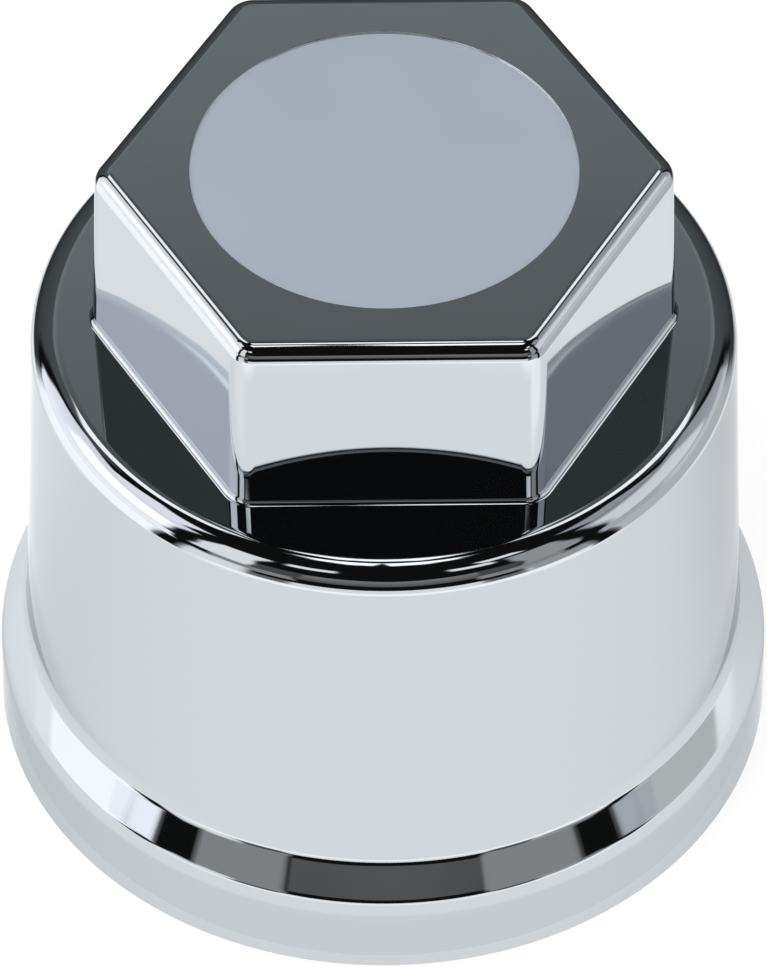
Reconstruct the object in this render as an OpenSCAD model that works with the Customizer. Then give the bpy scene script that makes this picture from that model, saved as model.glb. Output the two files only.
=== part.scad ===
// Push-on cap for a 33 mm wheel nut: one hollow moulding, chrome plated outside, open underneath.
// A hexagonal head stands on a round drum, and the drum stands on a flared foot flange.
// Millimetres. The origin is the centre of the foot's flat ring, and +Z points up to the crown.
// One flat of the head faces -Y, and the nut sits square under the head.

/* [Overall] */
// Which sub-part to draw
// Largest diameter, across the foot of the flange
flange_d = 60; // [58:0.5:62]
// Height from the foot to the flat crown
total_h = 56; // [50:0.5:64]
// Height of the flat shoulder that the head stands on
shoulder_h = 40.5; // [37:0.5:44]
// Wall thickness of the moulding
wall_t = 2; // [1.6:0.1:2.4]

/* [Foot flange] */
// Height of the crease where the flange meets the drum
crease_h = 10.3; // [8:0.1:12]
// Slope of the flange's upper band, in degrees from level
band_slope = 60; // [50:1:64]
// Lean of the flange's outer lip, in degrees from upright
lip_draft = 1.2; // [0.5:0.1:2.5]
// Radius between the sloped band and the lip
lip_round = 3.2; // [1.5:0.1:4]
// Radius of the lip's lower outer edge
foot_round = 0.3; // [0.2:0.05:0.5]
// Fillet radius in the crease between the band and the drum
crease_fillet = 3.2; // [1:0.1:4]

/* [Drum] */
// Drum diameter at the crease
drum_d = 55.5; // [54:0.25:57]
// Draft of the drum's side, in degrees
drum_draft = 2.4; // [1:0.1:3]
// Radius of the rim between the drum and the shoulder
rim_round = 2.3; // [1:0.1:2.6]

/* [Hexagonal head] */
// Width across the flats at the shoulder
head_flats = 38.4; // [37:0.2:41]
// Draft of the six flats, in degrees
head_draft = 1.8; // [0.5:0.1:3]
// Radius of the six upright corners
corner_round = 2.2; // [1.7:0.1:3]
// Radius of the edge round the crown
crown_round = 1.3; // [0.8:0.1:2]
// Radius of the fillet at the foot of the head
root_fillet = 0.4; // [0.2:0.1:1.2]
// Diameter of the satin disc sunk into the crown
disc_d = 28.7; // [24:0.1:31]
// Depth of the satin disc below the crown
disc_depth = 0.15; // [0.1:0.05:0.4]

/* [Nut grip] */
// Width across the flats of the nut that the ribs grip
nut_flats = 33; // [30:0.5:34]
// Thickness of a grip rib
rib_t = 1.6; // [1.2:0.1:2]
// Spacing of the two ribs that bear on one flat of the nut
rib_spacing = 11; // [9:0.5:12]
// Height of the ribs' lower ends, clear of the nut's round washer
rib_start_h = 11; // [10:0.5:14]
// Height at which the ribs step in and stop on top of the nut
nut_stop_h = 34; // [30:0.5:35]
// How far the ribs step in over the nut
nut_stop_reach = 3; // [2:0.25:5]
// Depth of the sloped lead-in at the ribs' lower ends
lead_in = 1.8; // [1:0.1:2.5]

/* [Hidden] */
// Facets round the turned body
$fn = 120;
// Facets round small radii in a turned section
round_fn = 48;
// Facets round one upright corner of the head, and steps up one of its rounded edges
corner_steps = 8;
edge_steps = 7;
// How far one shape is sunk into the next, so that the two fuse
sink = 0.5;
// How far the head's root fillet bites into the shoulder, so that it meets it on a clean edge
bite = 0.01;
// Radii inside the moulding, where the cores leave them smaller
core_round = 0.6;

side_count = 6;
side_turn = 360 / side_count;
flange_r = flange_d / 2;
drum_r = drum_d / 2;
head_h = total_h - shoulder_h;

// Unit vector at an angle in the section plane, where X is the radius and Y the height.
function along(angle) = [cos(angle), sin(angle)];

// Point where the line through p at angle a meets the line through q at angle b.
function meet(p, a, q, b) = p + along(a) * cross(q - p, along(b)) / cross(along(a), along(b));

// Half of the angle between the two sides of a corner q with neighbours p and s.
function unit(v) = v / norm(v);
function half_angle(p, q, s) = acos(unit(p - q) * unit(s - q)) / 2;

// The two points where an arc of radius r touches the sides of corner q.
function arc_ends(p, q, s, r) =
    r == 0 ? [q] : let (reach = r / tan(half_angle(p, q, s)))
    [q + unit(p - q) * reach, q + unit(s - q) * reach];

// The centre of that arc.
function arc_centre(p, q, s, r) =
    q + unit(unit(p - q) + unit(s - q)) * r / sin(half_angle(p, q, s));

// A closed section with true arcs at its corners. A positive radius rounds a corner that stands
// out, a negative one fills a corner that goes in, and 0 leaves the corner sharp.
module rounded_section(corners, radii) {
    last = len(corners) - 1;
    before = function(i) corners[i == 0 ? last : i - 1];
    after = function(i) corners[i == last ? 0 : i + 1];
    module discs(sign) {
        for (i = [0:last])
            if (radii[i] * sign > 0)
                translate(arc_centre(before(i), corners[i], after(i), abs(radii[i])))
                    circle(r = abs(radii[i]), $fn = round_fn);
    }
    difference() {
        union() {
            polygon([for (i = [0:last])
                each arc_ends(before(i), corners[i], after(i), abs(radii[i]))]);
            discs(1);
        }
        discs(-1);
    }
}

// The drum's side and the flange's lip and band, each as one point on a line and the line's angle.
// An inset of 0 gives the outside, and an inset of wall_t the inside of the wall.
drum_angle = 90 + drum_draft;
lip_angle = 90 + lip_draft;
band_angle = 180 - band_slope;
function drum_point(inset) = [drum_r - inset / cos(drum_draft), crease_h];
function lip_point(inset) = [flange_r - inset / cos(lip_draft), 0];
function band_point(inset) = [drum_r - inset / sin(band_slope), crease_h];

// Corners of the turned wall, from the foot upwards and in to the axis.
function wall_corners(inset, low, high) = [
    [0, low],
    meet(lip_point(inset), lip_angle, [0, low], 0),
    meet(lip_point(inset), lip_angle, band_point(inset), band_angle),
    meet(band_point(inset), band_angle, drum_point(inset), drum_angle),
    meet(drum_point(inset), drum_angle, [0, high], 0),
    [0, high]];

// Drum and flange as one turned body, before it is hollowed.
module turned_body() {
    rotate_extrude()
        rounded_section(wall_corners(0, 0, shoulder_h),
            [0, foot_round, lip_round, -crease_fillet, rim_round, 0]);
}

// The space inside the drum and flange, a wall's thickness in from the outside.
module turned_hollow() {
    rotate_extrude()
        rounded_section(wall_corners(wall_t, -sink, shoulder_h - wall_t),
            [0, 0, core_round, -core_round, core_round, 0]);
}

// Outline of a hexagon with rounded corners, which stand on the X axis and every 60 degrees on.
function hex_outline(half_flats, corner_r) = [
    for (i = [0:side_count - 1], k = [0:corner_steps])
        let (middle = i * side_turn, turn = middle + (k / corner_steps - 0.5) * side_turn)
        (half_flats - corner_r) / cos(side_turn / 2) * along(middle) + corner_r * along(turn)];

// A solid lofted through rounded hexagons, each [height, half width across flats, corner radius],
// from the lowest to the highest.
module hex_loft(levels) {
    ring = side_count * (corner_steps + 1);
    top = (len(levels) - 1) * ring;
    polyhedron(
        points = [for (level = levels) each
            [for (p = hex_outline(level[1], level[2])) [p.x, p.y, level[0]]]],
        faces = concat(
            [[for (k = [0:ring - 1]) k]],
            [[for (k = [ring - 1:-1:0]) top + k]],
            [for (j = [0:len(levels) - 2], k = [0:ring - 1])
                let (low = j * ring, next = (k + 1) % ring)
                [low + next, low + k, low + ring + k, low + ring + next]]));
}

// Levels of the edge round a crown at height h, where the flats would meet it half_flats out.
function crown_levels(h, half_flats, corner_r, edge_r) =
    let (inset = edge_r * tan((90 - head_draft) / 2))
    [for (k = [0:edge_steps])
        let (turn = head_draft + k / edge_steps * (90 - head_draft),
             out = edge_r * cos(turn) - inset)
        [h - edge_r + edge_r * sin(turn), half_flats + out, corner_r + out]];

// Levels of the fillet at the foot of the head, from the shoulder up to the flats.
function root_levels() =
    let (reach = root_fillet * tan((90 - head_draft) / 2))
    [for (k = [0:edge_steps])
        let (turn = 270 - k / edge_steps * (90 - head_draft),
             out = reach + root_fillet * cos(turn))
        [shoulder_h - bite + root_fillet * (1 + sin(turn)),
            head_flats / 2 + out, corner_round + out]];

// The hexagonal head from inside the shoulder up, with the disc sunk into its crown.
module head() {
    root = root_levels();
    difference() {
        hex_loft(concat(
            [[shoulder_h - sink, root[0][1], root[0][2]]],
            root,
            crown_levels(total_h, head_flats / 2 - head_h * tan(head_draft),
                corner_round, crown_round)));
        translate([0, 0, total_h - disc_depth])
            cylinder(d = disc_d, h = disc_depth + 1);
    }
}

// The space inside the head, a wall's thickness in, which clears the end of the stud.
module head_hollow() {
    inner = head_flats / 2 - wall_t / cos(head_draft);
    corner = corner_round - wall_t / 4;
    hex_loft(concat(
        [[shoulder_h - wall_t - sink, inner + wall_t * tan(head_draft), corner]],
        crown_levels(total_h - wall_t, inner - (head_h - wall_t) * tan(head_draft),
            corner, core_round)));
}

// Distance from the axis, along a rib, to the middle of the drum's wall at height z.
function rib_end(z) =
    let (mid_wall = drum_point(wall_t / 2).x - (z - crease_h) * tan(drum_draft),
         far_side = (rib_spacing + rib_t) / 2)
    sqrt(mid_wall * mid_wall - far_side * far_side);

// One grip rib, upright and square to a flat of the nut, seen from its side.
module rib_side() {
    face = nut_flats / 2;
    top = shoulder_h - wall_t + sink;
    polygon([
        [face + lead_in, rib_start_h],
        [rib_end(rib_start_h), rib_start_h],
        [rib_end(top), top],
        [face - nut_stop_reach, top],
        [face - nut_stop_reach, nut_stop_h],
        [face, nut_stop_h],
        [face, rib_start_h + 2 * lead_in]]);
}

// Six pairs of ribs, one pair for each flat of the nut, with the head's hollow left clear.
module grip_ribs() {
    difference() {
        for (i = [0:side_count - 1], side = [-1, 1])
            rotate((i + 0.5) * side_turn)
                translate([0, (side * rib_spacing + rib_t) / 2, 0])
                    rotate([90, 0, 0])
                        linear_extrude(rib_t)
                            rib_side();
        head_hollow();
    }
}

// The whole cap.
module nut_cap() {
    color([0.78, 0.8, 0.82]) {
        difference() {
            union() {
                turned_body();
                head();
            }
            turned_hollow();
            head_hollow();
        }
        grip_ribs();
    }
}

nut_cap();
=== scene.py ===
"""Lug nut cap: a push-on cap for a 33 mm wheel nut, moulded in ABS and chrome plated.

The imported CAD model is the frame. The turned and lofted skin of the moulding is worked out again
here as one smooth surface with exact normals, because plating mirrors every facet, and the grip
ribs inside it are a second piece. Both ride on the CAD body and stand for its one node.

What chrome shows is what stands round it. A dome and a floor sheet, which only mirror rays see,
carry the studio's panels and the dark gaps between them. They are stage, as the floor is.

Sizes are in millimetres, as in the part's own source, until put_mesh turns them into metres.
"""

import logging
import math
from collections.abc import Sequence
from dataclasses import dataclass, field
from enum import IntEnum

import bpy
import numpy as np
from mathutils import Euler, Matrix


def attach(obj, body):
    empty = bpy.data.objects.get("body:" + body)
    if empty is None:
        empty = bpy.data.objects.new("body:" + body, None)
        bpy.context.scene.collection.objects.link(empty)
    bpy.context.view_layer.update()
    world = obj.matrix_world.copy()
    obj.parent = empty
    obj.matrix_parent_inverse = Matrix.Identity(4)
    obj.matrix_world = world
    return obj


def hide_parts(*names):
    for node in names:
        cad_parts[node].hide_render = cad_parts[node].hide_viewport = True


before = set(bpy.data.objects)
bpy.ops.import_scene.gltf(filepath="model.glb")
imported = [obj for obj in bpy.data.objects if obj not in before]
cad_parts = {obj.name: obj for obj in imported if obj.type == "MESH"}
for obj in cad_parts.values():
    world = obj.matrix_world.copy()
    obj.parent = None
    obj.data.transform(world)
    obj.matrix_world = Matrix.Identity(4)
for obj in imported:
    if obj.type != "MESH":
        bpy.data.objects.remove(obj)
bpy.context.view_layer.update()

MM = 0.001
SIDES = 6
SIDE_TURN = 2 * math.pi / SIDES
NODE = "nut_cap"

# A line of the section is a point on it and its unit direction. Rings are positions and normals,
# by section point, sample round the axis and coordinate.
Line = tuple[np.ndarray, np.ndarray]
Rings = tuple[np.ndarray, np.ndarray]

log = logging.getLogger("nut_cap")


class Face(IntEnum):
    """Which finish a face of the moulding wears, in the order of its material slots."""

    CHROME = 0
    SATIN = 1
    INSIDE = 2


def linear(hex_colour: str) -> tuple[float, float, float, float]:
    """Turn an sRGB colour into linear light.

    Args:
        hex_colour: six hex digits, such as "c8ccd0".

    Returns:
        Linear red, green, blue and an alpha of 1.
    """
    srgb = np.array([int(hex_colour[i:i + 2], 16) for i in (0, 2, 4)]) / 255
    light = np.where(srgb <= 0.04045, srgb / 12.92, ((srgb + 0.055) / 1.055) ** 2.4)
    return (*light.tolist(), 1.0)


def add_node(tree: bpy.types.NodeTree, kind: str, settings: dict | None = None,
             **inputs: object) -> bpy.types.Node:
    """Add a node with its settings, and fill or link its inputs.

    Args:
        tree: the node tree that the node joins.
        kind: the node's type name, without "ShaderNode".
        settings: attributes of the node, by name.
        inputs: input sockets by name, with underscores for spaces. A name such as in_1 means the
            input with that number. A value that is itself a socket is linked.

    Returns:
        The new node.
    """
    node = tree.nodes.new("ShaderNode" + kind)
    for name, value in (settings or {}).items():
        setattr(node, name, value)
    for name, value in inputs.items():
        numbered = name.startswith("in_")
        socket = node.inputs[int(name[3:]) if numbered else name.replace("_", " ")]
        if isinstance(value, bpy.types.NodeSocket):
            tree.links.new(value, socket)
        else:
            socket.default_value = value
    return node


def new_material(name: str) -> tuple[bpy.types.Material, bpy.types.NodeTree]:
    """Make an empty node material.

    Args:
        name: the material's name.

    Returns:
        The material and its cleared node tree.
    """
    material = bpy.data.materials.new(name)
    material.use_nodes = True
    material.node_tree.nodes.clear()
    return material, material.node_tree


@dataclass(frozen=True)
class PlatedFinish:
    """Chromium plating on moulded ABS, from mirror bright to satin.

    The colour is chromium's own, a little blue. Chromium mirrors hardly more at a slant than
    head-on, which slant_tint gives. The moulding under it is never quite flat, so a broad swell
    bends the mirror image, and a fine grain breaks it up where the mould was blasted. haze is the
    share by which the roughness rises and falls, in clouds cloud_mm wide. metallic is below 1
    where the plating is so matt that it reads as a grey surface and not as a blurred mirror.
    """

    name: str
    colour: str
    roughness: float
    swell_mm: float
    swell_height_mm: float
    grain_mm: float
    grain_height_mm: float
    haze: float
    metallic: float = 1.0
    slant_tint: str = "dfe1e3"
    cloud_mm: float = 9.0

    def material(self) -> bpy.types.Material:
        """Build the plating: metal, with its swell, its grain and a cloudy change in roughness.

        Returns:
            The material.
        """
        material, tree = new_material(self.name)
        place = add_node(tree, "TexCoord").outputs["Object"]
        swell = add_node(tree, "TexNoise", Vector=place, Scale=1 / (self.swell_mm * MM),
                         Detail=1.0, Roughness=0.4)
        wave = add_node(tree, "Bump", Height=swell.outputs["Fac"], Strength=1.0,
                        Distance=self.swell_height_mm * MM)
        grain = add_node(tree, "TexNoise", Vector=place, Scale=1 / (self.grain_mm * MM),
                         Detail=2.0, Roughness=0.6)
        tooth = add_node(tree, "Bump", Height=grain.outputs["Fac"], Strength=1.0,
                         Distance=self.grain_height_mm * MM, Normal=wave.outputs["Normal"])
        cloud = add_node(tree, "TexNoise", Vector=place, Scale=1 / (self.cloud_mm * MM),
                         Detail=3.0)
        rough = add_node(tree, "MapRange", Value=cloud.outputs["Fac"], From_Min=0.3, From_Max=0.7,
                         To_Min=self.roughness * (1 - self.haze),
                         To_Max=self.roughness * (1 + self.haze))
        metal = add_node(tree, "BsdfPrincipled", Base_Color=linear(self.colour),
                         Metallic=self.metallic, Specular_Tint=linear(self.slant_tint),
                         Roughness=rough.outputs["Result"], Normal=tooth.outputs["Normal"])
        add_node(tree, "OutputMaterial", Surface=metal.outputs["BSDF"])
        return material


BRIGHT_CHROME = PlatedFinish(
    # Bright nickel and chromium over polished mould faces: a clear mirror, hardly bent, and with
    # no grain.
    name="bright_chrome_plated_abs", colour="cbd0d4", roughness=0.035,
    swell_mm=11.0, swell_height_mm=0.03, grain_mm=0.5, grain_height_mm=0.0, haze=0.3)
SATIN_CHROME = PlatedFinish(
    # Satin chromium over a bead-blasted disc: an even blue-grey with no clear image. A blasted
    # grain is nearer 0.1 mm, and it is drawn at 0.25 mm so that it shows.
    name="satin_chrome_plated_abs", colour="d1dbe7", roughness=0.55,
    swell_mm=14.0, swell_height_mm=0.01, grain_mm=0.25, grain_height_mm=0.006, haze=0.12,
    metallic=0.6)
THIN_CHROME = PlatedFinish(
    # Inside, the plating is thin over unpolished mould steel: greyer and blurred. The steel's
    # grain is finer than 0.4 mm, and it is drawn at that so that it shows.
    name="thin_chrome_plated_abs", colour="a9abae", roughness=0.26,
    swell_mm=6.0, swell_height_mm=0.02, grain_mm=0.4, grain_height_mm=0.008, haze=0.25)


@dataclass(frozen=True)
class Sizes:
    """Driving sizes of the moulding in millimetres and degrees, as the part's source has them."""

    flange_r: float = 30.0
    total_h: float = 56.0
    shoulder_h: float = 40.5
    wall_t: float = 2.0
    crease_h: float = 10.3
    band_slope: float = 60.0
    lip_draft: float = 1.2
    lip_round: float = 3.2
    foot_round: float = 0.3
    crease_fillet: float = 3.2
    drum_r: float = 27.75
    drum_draft: float = 2.4
    rim_round: float = 2.3
    head_half: float = 19.2
    head_draft: float = 1.8
    corner_round: float = 2.2
    crown_round: float = 1.3
    root_fillet: float = 0.4
    disc_r: float = 14.35
    disc_depth: float = 0.15
    core_round: float = 0.6
    nut_half: float = 16.5
    rib_t: float = 1.6
    rib_spacing: float = 11.0
    rib_start_h: float = 11.0
    nut_stop_h: float = 34.0
    nut_stop_reach: float = 3.0
    lead_in: float = 1.8

    def line(self, angle: float, point: tuple[float, float]) -> Line:
        """The line of the section through a point at an angle in degrees."""
        turn = math.radians(angle)
        return np.array(point), np.array([math.cos(turn), math.sin(turn)])

    def drum_side(self, inset: float) -> Line:
        """The drum's side, set in from the outside by a thickness."""
        x = self.drum_r - inset / math.cos(math.radians(self.drum_draft))
        return self.line(90 + self.drum_draft, (x, self.crease_h))

    def band(self, inset: float) -> Line:
        """The flange's sloped band, set in from the outside by a thickness."""
        x = self.drum_r - inset / math.sin(math.radians(self.band_slope))
        return self.line(180 - self.band_slope, (x, self.crease_h))

    def lip(self, inset: float) -> Line:
        """The flange's lip, set in from the outside by a thickness."""
        x = self.flange_r - inset / math.cos(math.radians(self.lip_draft))
        return self.line(90 + self.lip_draft, (x, 0.0))

    def head_half_at(self, z: float | np.ndarray, inset: float = 0.0) -> float | np.ndarray:
        """Half the head's width across its flats at height z, set in by a thickness."""
        lean = math.radians(self.head_draft)
        return self.head_half - inset / math.cos(lean) - (z - self.shoulder_h) * math.tan(lean)


def level(z: float) -> Line:
    """The level line of the section at height z."""
    return np.array([0.0, z]), np.array([1.0, 0.0])


def meet(first: Line, second: Line) -> np.ndarray:
    """Find where two lines of the section cross.

    The crossing is p + t * a on the first line and q + u * b on the second, which gives two
    equations for t and u.

    Args:
        first: the line through p along a.
        second: the line through q along b.

    Returns:
        The crossing point.
    """
    (p, a), (q, b) = first, second
    return p + np.linalg.solve(np.stack([a, -b], axis=1), q - p)[0] * a


@dataclass
class Section:
    """A run of section points, each with the direction that its surface faces.

    points holds a radius (or a half width) and a height in each row, and facing the outward
    normal's angle in the section, from level, in radians. The surface faces to the left of the
    walk along the points.
    """

    points: np.ndarray
    facing: np.ndarray

    @classmethod
    def rounded(cls, corners: Sequence[Sequence[float]], radii: Sequence[float],
                steps: int = 14) -> "Section":
        """Walk along a chain of corners, rounding each inner one with an arc.

        The arc of radius r that touches both sides of a corner starts r * tan(t / 2) before it,
        where t is the angle that the walk turns there, and turns by t in even steps.

        Args:
            corners: the corners. The first and the last only say where the walk comes from and
                goes to, and aren't kept.
            radii: one radius for each inner corner.
            steps: steps in each arc.

        Returns:
            The section.
        """
        chain = np.asarray(corners, float)
        points, facing = [], []
        for before, corner, after, radius in zip(chain, chain[1:], chain[2:], radii):
            come = (corner - before) / np.linalg.norm(corner - before)
            go = (after - corner) / np.linalg.norm(after - corner)
            turn = math.atan2(come[0] * go[1] - come[1] * go[0], come @ go)
            start = corner - come * radius * math.tan(abs(turn) / 2)
            left = np.array([-come[1], come[0]])
            centre = start + left * math.copysign(radius, turn)
            heading = math.atan2(come[1], come[0]) + np.linspace(0, turn, steps + 1)
            side = heading - math.copysign(math.pi / 2, turn)
            points.append(centre + radius * np.stack([np.cos(side), np.sin(side)], axis=1))
            facing.append(heading + math.pi / 2)
        return cls(np.concatenate(points), np.concatenate(facing))


@dataclass
class HexOutline:
    """Sampling round a hexagon with rounded corners, shared by every ring of the moulding.

    core is the path of the corner centres on a hexagon of half width 1, and out the outward
    direction. On a flat, core moves from one corner centre to the next and out stands still. In a
    corner, core stands still and out turns by 60 degrees. A ring is (half width - corner radius) *
    core + corner radius * out, so it stays a true offset curve. round_out gives a circle the same
    samples, at the angles where they stand on a middling ring of the head.
    """

    corner_steps: int = 16
    flat_steps: int = 36
    middling_half: float = 18.0
    middling_corner: float = 1.5
    core: np.ndarray = field(init=False)
    out: np.ndarray = field(init=False)
    round_out: np.ndarray = field(init=False)

    def __post_init__(self) -> None:
        """Lay out the samples of one corner and one flat, and turn them to all six."""
        arc = np.linspace(-0.5, 0.5, self.corner_steps + 1)
        along = np.linspace(0, 1, self.flat_steps + 1)[1:-1]
        turn = np.concatenate([arc, np.full(len(along), 0.5)])
        blend = np.concatenate([np.zeros(len(arc)), along])
        side = np.arange(SIDES)[:, None]
        reach = 1 / math.cos(SIDE_TURN / 2)
        here = np.stack([np.cos(side * SIDE_TURN), np.sin(side * SIDE_TURN)], axis=-1) * reach
        there = np.roll(here, -1, axis=0)
        self.core = (here + (there - here) * blend[:, None]).reshape(-1, 2)
        angle = ((side + turn) * SIDE_TURN).ravel()
        self.out = np.stack([np.cos(angle), np.sin(angle)], axis=1)
        middling = self.core * self.middling_half + self.out * self.middling_corner
        self.round_out = middling / np.linalg.norm(middling, axis=1, keepdims=True)

    def hexagons(self, section: Section, corner_r: np.ndarray) -> Rings:
        """Carry a section round the hexagon.

        Args:
            section: half widths and heights.
            corner_r: the corner radius at each point of the section.

        Returns:
            The rings.
        """
        half, z = section.points.T
        flat = (half - corner_r)[:, None, None] * self.core + corner_r[:, None, None] * self.out
        return self._rings(flat, z, self.out, section.facing)

    def circles(self, section: Section) -> Rings:
        """Carry a section round the axis, on the same samples.

        Args:
            section: radii and heights.

        Returns:
            The rings.
        """
        radius, z = section.points.T
        return self._rings(radius[:, None, None] * self.round_out, z, self.round_out,
                           section.facing)

    @staticmethod
    def _rings(flat: np.ndarray, z: np.ndarray, out: np.ndarray, facing: np.ndarray) -> Rings:
        """Raise flat rings to their heights, and tilt the outward direction by their facing.

        Args:
            flat: x and y, by section point and sample.
            z: the height of each ring.
            out: the outward direction at each sample.
            facing: how far each ring's normal is tilted up from it, in radians.

        Returns:
            The rings, with each normal as cos(facing) * out, and sin(facing) upwards.
        """
        height = np.broadcast_to(z[:, None, None], (*flat.shape[:2], 1))
        up = np.broadcast_to(np.sin(facing)[:, None, None], height.shape)
        normals = np.concatenate([np.cos(facing)[:, None, None] * out, up], axis=2)
        return np.concatenate([flat, height], axis=2), normals


def put_mesh(name: str, vertices: np.ndarray, faces: Sequence[Sequence[int]],
             materials: Sequence[bpy.types.Material], wears: np.ndarray | None = None,
             normals: np.ndarray | None = None) -> bpy.types.Object:
    """Make an object at the origin from arrays in millimetres.

    Args:
        name: the piece's name.
        vertices: positions in millimetres, one row each.
        faces: vertex numbers of each face, anticlockwise from outside.
        materials: the piece's materials, in slot order.
        wears: the slot of each face, or None for the first.
        normals: exact normals, one row for each vertex, or None for Blender's own.

    Returns:
        The new object.
    """
    mesh = bpy.data.meshes.new(name)
    mesh.from_pydata((vertices * MM).tolist(), [], faces)
    for material in materials:
        mesh.materials.append(material)
    if wears is not None:
        mesh.polygons.foreach_set("material_index", wears.astype(np.int32))
    mesh.update()
    if normals is not None:
        mesh.polygons.foreach_set("use_smooth", np.ones(len(mesh.polygons), bool))
        mesh.normals_split_custom_set_from_vertices(normals.tolist())
    piece = bpy.data.objects.new(name, mesh)
    bpy.context.scene.collection.objects.link(piece)
    return piece


@dataclass
class CapShell:
    """The moulding's whole skin, outside and inside, as one closed surface.

    It is walked as one section, from the middle of the crown over the edge, down the outside,
    round the foot and up the inside to the middle of the ceiling. Each run's first and last
    corner, on the axis or as far out as the flange, only gives the walk its direction.

    disc_rings are the radii of the rings on the flat of the disc, and the disc's edge steps up by
    leaning out over step_lean, with both its corners rounded by step_round. The satin finish ends
    satin_strips out from the middle, in the round at the foot of that step. The bright plating
    ends bright_strips past the foot's ring, in the foot's inner round.
    """

    sizes: Sizes
    outline: HexOutline = field(default_factory=HexOutline)
    disc_rings: tuple[float, ...] = (0.5, 4.0, 8.0, 12.0)
    step_lean: float = 0.02
    step_round: float = 0.06
    foot_inner_round: float = 0.25
    mouth_round: float = 0.4
    least_corner: float = 0.3
    satin_strips: int = 6
    bright_strips: int = 6

    def crown_disc(self) -> Rings:
        """Lay the satin disc, its small step up, and the start of the crown round it.

        Returns:
            The rings, from the middle out.
        """
        s = self.sizes
        floor = s.total_h - s.disc_depth
        rings = np.array([[r, floor] for r in self.disc_rings])
        flat = Section(rings, np.full(len(rings), math.pi / 2))
        step = Section.rounded(
            [(0.0, floor), (s.disc_r, floor), (s.disc_r + self.step_lean, s.total_h),
             (s.flange_r, s.total_h)], [self.step_round] * 2, steps=6)
        first, second = self.outline.circles(flat), self.outline.circles(step)
        return tuple(np.concatenate(pair) for pair in zip(first, second))

    def head(self) -> Rings:
        """Loft the crown's edge, the six flats and the fillet at their foot.

        Returns:
            The rings, from the crown down.
        """
        s = self.sizes
        top = s.head_half_at(s.total_h)
        section = Section.rounded(
            [(0.0, s.total_h), (top, s.total_h), (s.head_half, s.shoulder_h),
             (s.flange_r, s.shoulder_h)], [s.crown_round, s.root_fillet])
        half, z = section.points.T
        corner_r = s.corner_round + half - s.head_half_at(z)
        return self.outline.hexagons(section, corner_r)

    def turned(self) -> Rings:
        """Turn the rim, drum, flange and foot outside, and the same wall inside.

        Returns:
            The rings, down the outside and up the inside.
        """
        s = self.sizes
        ceiling = level(s.shoulder_h - s.wall_t)
        foot = level(0.0)
        corners = [
            (0.0, s.shoulder_h),
            meet(s.drum_side(0), level(s.shoulder_h)),
            meet(s.band(0), s.drum_side(0)),
            meet(s.lip(0), s.band(0)),
            meet(s.lip(0), foot),
            meet(s.lip(s.wall_t), foot),
            meet(s.lip(s.wall_t), s.band(s.wall_t)),
            meet(s.band(s.wall_t), s.drum_side(s.wall_t)),
            meet(s.drum_side(s.wall_t), ceiling),
            (0.0, s.shoulder_h - s.wall_t)]
        radii = [s.rim_round, s.crease_fillet, s.lip_round, s.foot_round, self.foot_inner_round,
                 s.core_round, s.core_round, s.core_round]
        return self.outline.circles(Section.rounded(corners, radii))

    def head_hollow(self) -> Rings:
        """Loft the mouth, walls and ceiling of the space inside the head.

        Returns:
            The rings, from the mouth up and in to the ceiling's middle.
        """
        s = self.sizes
        low, high = s.shoulder_h - s.wall_t, s.total_h - s.wall_t
        section = Section.rounded(
            [(s.flange_r, low), (s.head_half_at(low, s.wall_t), low),
             (s.head_half_at(high, s.wall_t), high), (0.0, high)],
            [self.mouth_round, s.core_round], steps=8)
        half, z = section.points.T
        corner_r = np.maximum(s.corner_round - s.wall_t / 4
                              + half - s.head_half_at(z, s.wall_t), self.least_corner)
        return self.outline.hexagons(section, corner_r)

    def build(self, materials: Sequence[bpy.types.Material]) -> bpy.types.Object:
        """Join the runs into one closed mesh with exact normals.

        Rows of quads join each ring to the next, and a fan closes each end on the axis.

        Args:
            materials: bright, satin and thin plating.

        Returns:
            The shell.
        """
        s = self.sizes
        runs = [self.crown_disc(), self.head(), self.turned(), self.head_hollow()]
        rings = np.concatenate([run[0] for run in runs])
        facing = np.concatenate([run[1] for run in runs])
        count, around = rings.shape[:2]
        poles = np.array([[0, 0, s.total_h - s.disc_depth], [0, 0, s.total_h - s.wall_t]])
        vertices = np.concatenate([rings.reshape(-1, 3), poles])
        normals = np.concatenate([facing.reshape(-1, 3), [[0, 0, 1], [0, 0, -1]]])
        k = np.arange(around)
        after = (k + 1) % around
        row = np.arange(count - 1)[:, None] * around
        quads = np.stack([row + k, row + around + k, row + around + after, row + after],
                         axis=-1).reshape(-1, 4)
        top, ceiling = count * around, count * around + 1
        last = (count - 1) * around
        fans = [np.stack([np.full(around, top), k, after], axis=1),
                np.stack([np.full(around, ceiling), last + after, last + k], axis=1)]
        foot_ring = int(np.isclose(rings[:, 0, 2], 0).argmax())
        wears = np.full(count - 1, int(Face.CHROME))
        wears[:self.satin_strips] = Face.SATIN
        wears[foot_ring + self.bright_strips:] = Face.INSIDE
        slots = np.concatenate([np.repeat(wears, around), np.full(around, int(Face.SATIN)),
                                np.full(around, int(Face.INSIDE))])
        faces = quads.tolist() + fans[0].tolist() + fans[1].tolist()
        return put_mesh("cap_shell", vertices, faces, materials, slots, normals)


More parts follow.
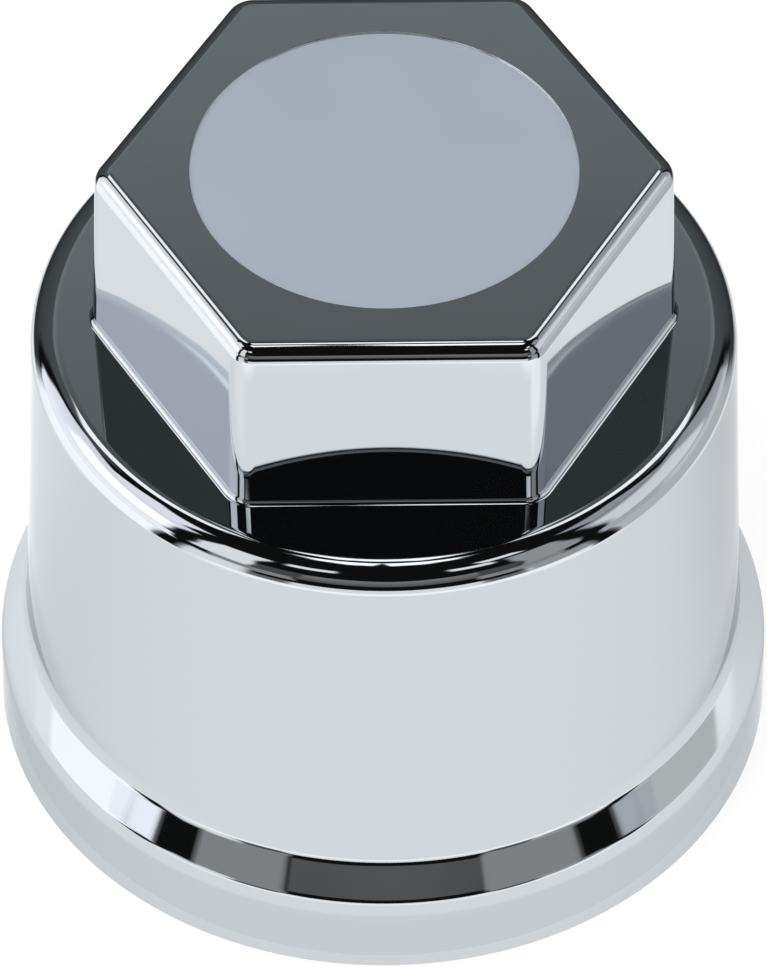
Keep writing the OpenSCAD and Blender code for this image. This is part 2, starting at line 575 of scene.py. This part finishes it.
@dataclass
class GripRibs:
    """Six pairs of upright ribs inside the drum, each pair bearing on one flat of the nut.

    A rib's top is sunk into the ceiling by sink. Nearer the axis than mouth_clear outside the
    mouth of the head's hollow, it ends mouth_drop below the ceiling, so that the hollow stays
    clear.
    """

    sizes: Sizes
    edge_round: float = 0.2
    sink: float = 0.4
    mouth_clear: float = 0.3
    mouth_drop: float = 0.5

    def end(self, z: float) -> float:
        """Work out how far a rib reaches out, to the middle of the drum's wall.

        The rib's far side stands off the axis by half the spacing and half the thickness, so its
        reach is the wall's radius with that taken away, by Pythagoras.

        Args:
            z: height.

        Returns:
            The distance from the axis, along the rib.
        """
        s = self.sizes
        wall = s.drum_side(s.wall_t / 2)[0][0]
        wall -= (z - s.crease_h) * math.tan(math.radians(s.drum_draft))
        return math.sqrt(wall ** 2 - ((s.rib_spacing + s.rib_t) / 2) ** 2)

    def side(self) -> np.ndarray:
        """Draw the rib from its side.

        Returns:
            The outline's corners, as distance from the axis and height.
        """
        s = self.sizes
        ceiling = s.shoulder_h - s.wall_t
        top, low_top = ceiling + self.sink, ceiling - self.mouth_drop
        mouth = s.head_half_at(ceiling, s.wall_t) + self.mouth_clear
        stop = s.nut_half - s.nut_stop_reach
        return np.array([
            (s.nut_half + s.lead_in, s.rib_start_h), (self.end(s.rib_start_h), s.rib_start_h),
            (self.end(top), top), (mouth, top), (mouth, low_top), (stop, low_top),
            (stop, s.nut_stop_h), (s.nut_half, s.nut_stop_h),
            (s.nut_half, s.rib_start_h + 2 * s.lead_in)])

    def build(self, materials: Sequence[bpy.types.Material]) -> bpy.types.Object:
        """Sweep the outline through a rib's thickness and turn it to all twelve places.

        Args:
            materials: the plating inside.

        Returns:
            The ribs, as one piece of twelve closed solids.
        """
        s = self.sizes
        side = self.side()
        count = len(side)
        middle = np.repeat([-1, 1], SIDES) * s.rib_spacing / 2
        turn = np.tile((np.arange(SIDES) + 0.5) * SIDE_TURN, 2)
        # Positions by rib, face of the rib and outline point: x along the rib, y across it.
        x = np.broadcast_to(side[:, 0], (len(turn), 2, count))
        y = middle[:, None, None] + np.array([-0.5, 0.5])[:, None] * s.rib_t + 0 * x
        z = np.broadcast_to(side[:, 1], x.shape)
        cos, sin = np.cos(turn)[:, None, None], np.sin(turn)[:, None, None]
        vertices = np.stack([x * cos - y * sin, x * sin + y * cos, z], axis=-1).reshape(-1, 3)
        faces = []
        k = np.arange(count)
        for rib in range(len(turn)):
            near = rib * 2 * count
            far = near + count
            faces.append((near + k).tolist())
            faces.append((far + k[::-1]).tolist())
            faces += np.stack([near + (k + 1) % count, near + k, far + k,
                               far + (k + 1) % count], axis=1).tolist()
        piece = put_mesh("grip_ribs", vertices, faces, materials)
        bevel = piece.modifiers.new("moulded_edges", "BEVEL")
        bevel.width = self.edge_round * MM
        bevel.segments = 2
        bevel.limit_method = "ANGLE"
        bevel.harden_normals = True
        piece.data.polygons.foreach_set("use_smooth", np.ones(len(piece.data.polygons), bool))
        return piece


def ramp(value: np.ndarray, start: float, end: float) -> np.ndarray:
    """Rise smoothly from 0 at start to 1 at end: 3 t^2 - 2 t^3, with t the share of the way."""
    t = np.clip((value - start) / (end - start), 0, 1)
    return t * t * (3 - 2 * t)


def window(value: np.ndarray, low: float, high: float, soft: float) -> np.ndarray:
    """1 between low and high and 0 outside, with edges that are soft wide."""
    return ramp(value, low - soft / 2, low + soft / 2) * ramp(-value, -high - soft / 2,
                                                              -high + soft / 2)


def mirror_only(name: str, points: np.ndarray, light: np.ndarray) -> None:
    """Make a glowing grid that only mirror rays see.

    Args:
        name: the grid's name.
        points: its points in millimetres, by row and column.
        light: its linear colours, by vertex.
    """
    rows, columns = points.shape[:2]
    i, j = np.meshgrid(np.arange(rows - 1), np.arange(columns - 1), indexing="ij")
    first = (i * columns + j).ravel()
    quads = np.stack([first, first + 1, first + columns + 1, first + columns], axis=1)
    material, tree = new_material(name)
    shade = add_node(tree, "Attribute", {"attribute_name": "glow"})
    glow = add_node(tree, "Emission", Color=shade.outputs["Color"], Strength=1.0)
    add_node(tree, "OutputMaterial", Surface=glow.outputs["Emission"])
    grid = put_mesh(name, points.reshape(-1, 3), quads.tolist(), [material])
    colours = grid.data.attributes.new("glow", "FLOAT_COLOR", "POINT")
    colours.data.foreach_set("color", np.pad(light, ((0, 0), (0, 1)), constant_values=1).ravel())
    for rays in ("camera", "diffuse", "shadow", "volume_scatter"):
        setattr(grid, "visible_" + rays, False)


@dataclass(frozen=True)
class Wave:
    """A slow wave in the edges of the panels: height * sin(count * angle + start).

    height is in degrees and start in radians, and count is how many waves go into a full turn.
    """

    height: float
    count: int
    start: float = 0.0

    def at(self, angle: np.ndarray) -> np.ndarray:
        """The wave's height at each angle, both in degrees."""
        return self.height * np.sin(np.radians(angle) * self.count + self.start)


# No panel's edge is drawn quite straight, because plating over a moulding never mirrors it so.
ACROSS_WAVE = Wave(height=0.7, count=14)
UP_WAVE = Wave(height=0.5, count=11, start=1.0)

# The light of a gap between panels, where 1 is white, and the colours of the panels' light.
DARK = 0.007
WHITE = "ffffff"
BACK_TINT = "f4fdff"
LEFT_TINT = "fbf9ff"
RIGHT_TINT = "f6f8ff"


@dataclass(frozen=True)
class Patch:
    """A soft-edged panel or flag on the dome of light round the object.

    Azimuths are in degrees from the camera's side, positive to its right, and elevations are from
    level. glow is the panel's light, where 1 is white. Where it isn't even, glow is the light at
    the lower edge and glow_top at the upper.
    """

    azimuth: tuple[float, float]
    elevation: tuple[float, float]
    glow: float
    glow_top: float | None = None
    colour: str = WHITE
    soft: float = 2.0

    def paint(self, light: np.ndarray, azimuth: np.ndarray, elevation: np.ndarray) -> np.ndarray:
        """Lay the panel over what is there already.

        Args:
            light: the dome's linear colours so far, by vertex.
            azimuth: each vertex's azimuth.
            elevation: each vertex's elevation.

        Returns:
            The dome's colours with the panel.
        """
        azimuth = azimuth + ACROSS_WAVE.at(elevation)
        elevation = elevation + UP_WAVE.at(azimuth)
        off = (azimuth - sum(self.azimuth) / 2 + 180) % 360 - 180
        half = (self.azimuth[1] - self.azimuth[0]) / 2
        cover = window(elevation, *self.elevation, self.soft) * window(off, -half, half, self.soft)
        top = self.glow if self.glow_top is None else self.glow_top
        glow = np.interp(elevation, self.elevation, (self.glow, top))
        colour = np.array(linear(self.colour)[:3])
        return light + (glow[:, None] * colour - light) * cover[:, None]


@dataclass(frozen=True)
class MirroredDome:
    """The panels and gaps that the plating mirrors, on a half sphere round the cap."""

    radius: float = 600.0
    centre_h: float = 30.0
    lowest: float = -4.0
    steps: tuple[int, int] = (360, 94)
    patches: tuple[Patch, ...] = (
        # Behind: a grey wall that the crown mirrors, lighter in its middle, with a small grey
        # panel beside it at each end, and strips of light above it and up both its sides.
        Patch((128, 232), (-9, 66), 0.06, 0.13, BACK_TINT, soft=5),
        Patch((117, 129), (46.5, 55), 0.08, colour=BACK_TINT),
        Patch((231, 243), (46.5, 55), 0.08, colour=BACK_TINT),
        Patch((146, 214), (40, 53), 0.30, 0.09, BACK_TINT, soft=4),
        Patch((150, 210), (74, 82), 1.6, soft=1.5),
        Patch((131, 150), (49, 70), 1.4),
        Patch((210, 229), (49, 70), 1.4),
        # In front: greys low down, a light window on the left and a grey one on the right, and
        # small bright panels high up, which the rim mirrors.
        Patch((-48.5, -25), (-5, 9), 0.34),
        Patch((25, 50), (-5, 9), 0.34),
        Patch((-37, -24), (9, 26), 0.09),
        Patch((24, 37), (9, 26), 0.09),
        Patch((-24, 25), (5, 24), 0.11, 0.28, soft=1),
        Patch((-55, -38), (9, 47), 1.1),
        Patch((38, 55), (9, 47), 0.42),
        Patch((-55, -38), (-9, -1), 1.0),
        Patch((38, 55), (-9, -1), 0.42),
        Patch((-33, -17), (44, 51), 1.2),
        Patch((20, 34), (42, 49), 1.2),
        Patch((34, 50), (52, 58), 1.2),
        # At the sides: a white wall on the left and a grey one on the right, each with a lighter
        # middle, and their dark feet.
        Patch((-121, -60.5), (-20, 11), 1.4, colour=LEFT_TINT),
        Patch((-121, -64), (9, 46.5), 1.35, 1.05, LEFT_TINT),
        Patch((-105, -66), (16, 36), 1.8, soft=6),
        Patch((-105, -72), (43, 60), 1.2, colour=LEFT_TINT),
        Patch((61.5, 121), (-20, 11), 0.66, 0.62, RIGHT_TINT),
        Patch((84, 121), (-20, 11), 0.8, soft=10),
        Patch((64, 121), (9, 46.5), 0.58, 0.42, RIGHT_TINT),
        Patch((66, 105), (12, 41), 0.98, 0.92, soft=6),
        Patch((72, 105), (47, 60), 0.45, colour=RIGHT_TINT),
        Patch((-70, -48), (-9, -2), DARK),
        Patch((48, 68), (-9, -2), DARK),
        # Overhead: the two softboxes that draw the thin white lines along the rounded edges.
        Patch((-100, -8), (80, 95), 1.7),
        Patch((6, 100), (80, 95), 1.7),
    )

    def build(self) -> None:
        """Paint the patches on the dome.

        A point of the dome at azimuth a and elevation e is its centre plus its radius times
        (cos e sin a, -cos e cos a, sin e).
        """
        across, up = self.steps
        azimuth, elevation = np.meshgrid(np.linspace(-180, 180, across + 1),
                                         np.linspace(self.lowest, 90, up + 1), indexing="ij")
        a, e = np.radians(azimuth), np.radians(elevation)
        unit = np.stack([np.cos(e) * np.sin(a), -np.cos(e) * np.cos(a), np.sin(e)], axis=-1)
        light = np.full((azimuth.size, 3), DARK)
        for patch in self.patches:
            light = patch.paint(light, azimuth.ravel(), elevation.ravel())
        mirror_only("dome", unit * self.radius + np.array([0, 0, self.centre_h]), light)


# Farther out than the sheet reaches, for a zone that has no outer edge.
FAR = 2000.0


@dataclass(frozen=True)
class Zone:
    """A soft-edged part of the floor sheet, between two radii and two angles.

    Angles are in degrees from the camera's side, to its left and its right alike. left and right
    are the light on each side, where 1 is white, and None where the zone isn't there. soft is how
    wide its edges are, in degrees and in millimetres of radius.
    """

    angle: tuple[float, float]
    radius: tuple[float, float]
    left: float | None
    right: float | None
    soft: tuple[float, float]

    def paint(self, light: np.ndarray, azimuth: np.ndarray, radius: np.ndarray) -> np.ndarray:
        """Lay the zone over what is there already.

        Args:
            light: the sheet's light so far.
            azimuth: degrees from the camera's side, positive to its right.
            radius: millimetres from the cap's axis.

        Returns:
            The sheet's light with the zone.
        """
        on_left = np.sin(np.radians(azimuth)) < 0
        glow = np.where(on_left, self.left or 0.0, self.right or 0.0)
        there = np.where(on_left, self.left is not None, self.right is not None)
        cover = window(np.abs(azimuth), *self.angle, self.soft[0])
        cover = cover * window(radius, *self.radius, self.soft[1])
        return light + (glow - light) * cover * there


@dataclass(frozen=True)
class MirroredFloor:
    """The floor as the plating sees it, a hair above the floor that the camera sees.

    Its light is less by foot_shade up against the cap, and changes by behind_left and behind_right
    beside and behind it. Along the cap's flanks it is flank_light, from where the distance along
    flank_way passes flank_start, back from flank_front, and out to flank_end. The zones are laid
    over that: arcs of light close in front, greys and gaps farther off, and dark behind.

    Each *_edge, *_side, *_back, *_start, *_front and *_end is where a soft edge starts and ends,
    in millimetres from the axis.
    """

    light: float = 1.07
    foot_shade: float = 0.12
    foot_edge: tuple[float, float] = (34.0, 36.5)
    behind_left: float = 0.2
    behind_right: float = -0.12
    behind_side: tuple[float, float] = (0.0, 30.0)
    behind_back: tuple[float, float] = (-10.0, 26.0)
    flank_light: float = 1.24
    flank_way: tuple[float, float] = (0.893, 0.451)
    flank_start: tuple[float, float] = (54.0, 60.0)
    flank_front: tuple[float, float] = (-12.0, 0.0)
    flank_end: tuple[float, float] = (77.0, 82.0)
    inner_r: float = 31.0
    outer_r: float = 600.0
    height: float = 0.2
    steps: tuple[int, int] = (240, 119)
    zones: tuple[Zone, ...] = (
        Zone((36, 66), (69, 96), 1.15, 1.3, soft=(14, 5)),
        Zone((-9, 48), (79, 105), 1.4, 1.4, soft=(8, 3)),
        Zone((25, 37), (115, FAR), 0.2, 0.2, soft=(3, 10)),
        Zone((38, 55), (115, FAR), None, 0.45, soft=(3, 10)),
        Zone((55, 64), (83, FAR), DARK, DARK, soft=(3, 6)),
        Zone((64, 128), (79, FAR), 1.5, 0.68, soft=(4, 6)),
        Zone((-9, 37), (205, FAR), DARK, DARK, soft=(6, 30)),
        Zone((118, 199), (110, FAR), 0.05, 0.05, soft=(10, 40)),
    )

    def build(self) -> None:
        """Paint the sheet, on rings from inner_r to outer_r that each grow by the same factor."""
        across, out = self.steps
        azimuth, share = np.meshgrid(np.linspace(-180, 180, across + 1),
                                     np.linspace(0, 1, out + 1), indexing="ij")
        radius = self.inner_r * (self.outer_r / self.inner_r) ** share
        a = np.radians(azimuth)
        x, y = radius * np.sin(a), -radius * np.cos(a)
        foot = ramp(-radius, -self.foot_edge[1], -self.foot_edge[0])
        behind = ramp(np.abs(x), *self.behind_side) * ramp(y, *self.behind_back)
        light = self.light - self.foot_shade * foot + behind * np.where(
            x > 0, self.behind_right, self.behind_left)
        along = self.flank_way[0] * np.abs(x) + self.flank_way[1] * y
        flank = (ramp(along, *self.flank_start) * ramp(y, *self.flank_front)
                 * ramp(-radius, -self.flank_end[1], -self.flank_end[0]))
        light = light + (self.flank_light - light) * flank
        for zone in self.zones:
            light = zone.paint(light, azimuth, radius)
        points = np.stack([x, y, np.full_like(x, self.height)], axis=-1)
        mirror_only("floor_sheet", points, np.repeat(light.reshape(-1, 1), 3, axis=1))


@dataclass(frozen=True)
class PhotoCamera:
    """The photograph's camera, fitted to the cap's outlines: a long lens, 47 degrees up.

    It stands distance_m from the point aim_h_m up the cap's axis, rise degrees above it and yaw
    degrees round from the front. From there it looks tilt degrees down, turned by roll.
    """

    frame_h_px: int = 967
    focal_px: float = 7455.0
    sensor_mm: float = 36.0
    distance_m: float = 0.569
    aim_h_m: float = 0.02672
    rise: float = 46.917
    tilt: float = 47.252
    yaw: float = -0.969
    roll: float = 0.151
    clip_m: tuple[float, float] = (0.05, 20.0)

    def build(self) -> None:
        """Stand the camera in its place and make it the scene's."""
        data = bpy.data.cameras.new("photo_camera")
        data.sensor_width = self.sensor_mm
        data.lens = self.focal_px * data.sensor_width / self.frame_h_px
        data.clip_start, data.clip_end = self.clip_m
        camera = bpy.data.objects.new("photo_camera", data)
        turn, rise = math.radians(self.yaw), math.radians(self.rise)
        camera.location = (self.distance_m * math.cos(rise) * math.sin(turn),
                           -self.distance_m * math.cos(rise) * math.cos(turn),
                           self.aim_h_m + self.distance_m * math.sin(rise))
        look = Euler((math.radians(90 - self.tilt), 0, turn)).to_matrix()
        camera.rotation_euler = (
            look @ Matrix.Rotation(math.radians(self.roll), 3, "Z")).to_euler()
        bpy.context.scene.collection.objects.link(camera)
        bpy.context.scene.camera = camera


@dataclass(frozen=True)
class SoftLamp:
    """A soft square lamp that points at the cap and doesn't show in the plating."""

    name: str
    place_m: tuple[float, float, float]
    power_w: float
    size_m: float = 0.7
    aim_h_m: float = 0.03

    def build(self) -> None:
        """Hang the lamp, tipped and turned so that its face looks along the way to the cap."""
        light = bpy.data.lights.new(self.name, "AREA")
        light.size = self.size_m
        light.energy = self.power_w
        lamp = bpy.data.objects.new(self.name, light)
        lamp.location = self.place_m
        aim = -np.array(self.place_m) + np.array([0, 0, self.aim_h_m])
        yaw = math.atan2(aim[0], -aim[1])
        lamp.rotation_euler = (math.acos(-aim[2] / np.linalg.norm(aim)), 0, yaw + math.pi)
        lamp.visible_glossy = False
        bpy.context.scene.collection.objects.link(lamp)


def looked_at(tree: bpy.types.NodeTree) -> bpy.types.NodeSocket:
    """Tell the rays that look at the backdrop from those that only carry its light.

    Args:
        tree: the node tree that the nodes join.

    Returns:
        1 for a camera, glossy or transmission ray, and 0 for any other.
    """
    path = add_node(tree, "LightPath").outputs
    seen = add_node(tree, "Math", {"operation": "ADD"}, in_0=path["Is Camera Ray"],
                    in_1=path["Is Glossy Ray"])
    return add_node(tree, "Math", {"operation": "ADD", "use_clamp": True},
                    in_0=seen.outputs[0], in_1=path["Is Transmission Ray"]).outputs[0]


@dataclass(frozen=True)
class Studio:
    """The plain pale floor, the white background, the soft light and all that goes with them.

    paper is the floor's colour to the light that it throws back on the cap, and seen_paper with
    seen_glow is what it looks like. fill is the background's light on everything.
    """

    floor_m: float = 6.0
    paper: str = "dcdcdc"
    seen_paper: str = "a0a0a0"
    seen_glow: float = 0.72
    fill: float = 0.7
    camera: PhotoCamera = PhotoCamera()
    dome: MirroredDome = MirroredDome()
    sheet: MirroredFloor = MirroredFloor()
    lamps: tuple[SoftLamp, ...] = (
        SoftLamp("key_lamp", (-0.5, -0.4, 0.9), power_w=4.0),
        SoftLamp("fill_lamp", (0.6, -0.2, 0.7), power_w=2.0),
    )

    def floor(self) -> None:
        """Lay a plain sheet of matt white paper.

        The camera sees it glow, so it comes out white, and the part of its light that comes from
        the lamps still keeps the object's shadow.
        """
        material, tree = new_material("white_paper_floor")
        seen = looked_at(tree)
        paper = add_node(tree, "BsdfDiffuse", Color=linear(self.paper))
        thin = add_node(tree, "BsdfDiffuse", Color=linear(self.seen_paper))
        glow = add_node(tree, "Emission", Color=linear(WHITE), Strength=self.seen_glow)
        lit = add_node(tree, "AddShader", in_0=thin.outputs[0], in_1=glow.outputs[0])
        either = add_node(tree, "MixShader", in_0=seen, in_1=paper.outputs[0],
                          in_2=lit.outputs[0])
        add_node(tree, "OutputMaterial", Surface=either.outputs[0])
        half = self.floor_m / 2 / MM
        corners = np.array([[-half, -half, 0], [half, -half, 0], [half, half, 0],
                            [-half, half, 0]])
        put_mesh("floor", corners, [(0, 1, 2, 3)], [material])

    def world(self) -> None:
        """White where it is looked at, and a plain soft fill for everything else."""
        world = bpy.data.worlds.new("soft_studio")
        world.use_nodes = True
        tree = world.node_tree
        tree.nodes.clear()
        seen = looked_at(tree)
        fill = add_node(tree, "Background", Color=linear(WHITE), Strength=self.fill)
        white = add_node(tree, "Background", Color=linear(WHITE), Strength=1.0)
        either = add_node(tree, "MixShader", in_0=seen, in_1=fill.outputs[0],
                          in_2=white.outputs[0])
        add_node(tree, "OutputWorld", Surface=either.outputs[0])
        bpy.context.scene.world = world

    def build(self) -> None:
        """Set the whole stage."""
        bpy.context.scene.view_settings.view_transform = "Standard"
        self.camera.build()
        self.floor()
        self.world()
        self.dome.build()
        self.sheet.build()
        for lamp in self.lamps:
            lamp.build()


def main() -> None:
    """Build the stage and the cap, and let the cap's pieces ride on the CAD body."""
    logging.basicConfig(level=logging.INFO, format="%(message)s")
    Studio().build()
    sizes = Sizes()
    bright, satin, thin = (f.material() for f in (BRIGHT_CHROME, SATIN_CHROME, THIN_CHROME))
    shell = CapShell(sizes).build([bright, satin, thin])
    ribs = GripRibs(sizes).build([thin])
    for piece in (shell, ribs):
        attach(piece, "root")
        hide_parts(NODE)
        log.info("%s: %d faces", piece.name, len(piece.data.polygons))


if __name__ == "__main__":
    main()
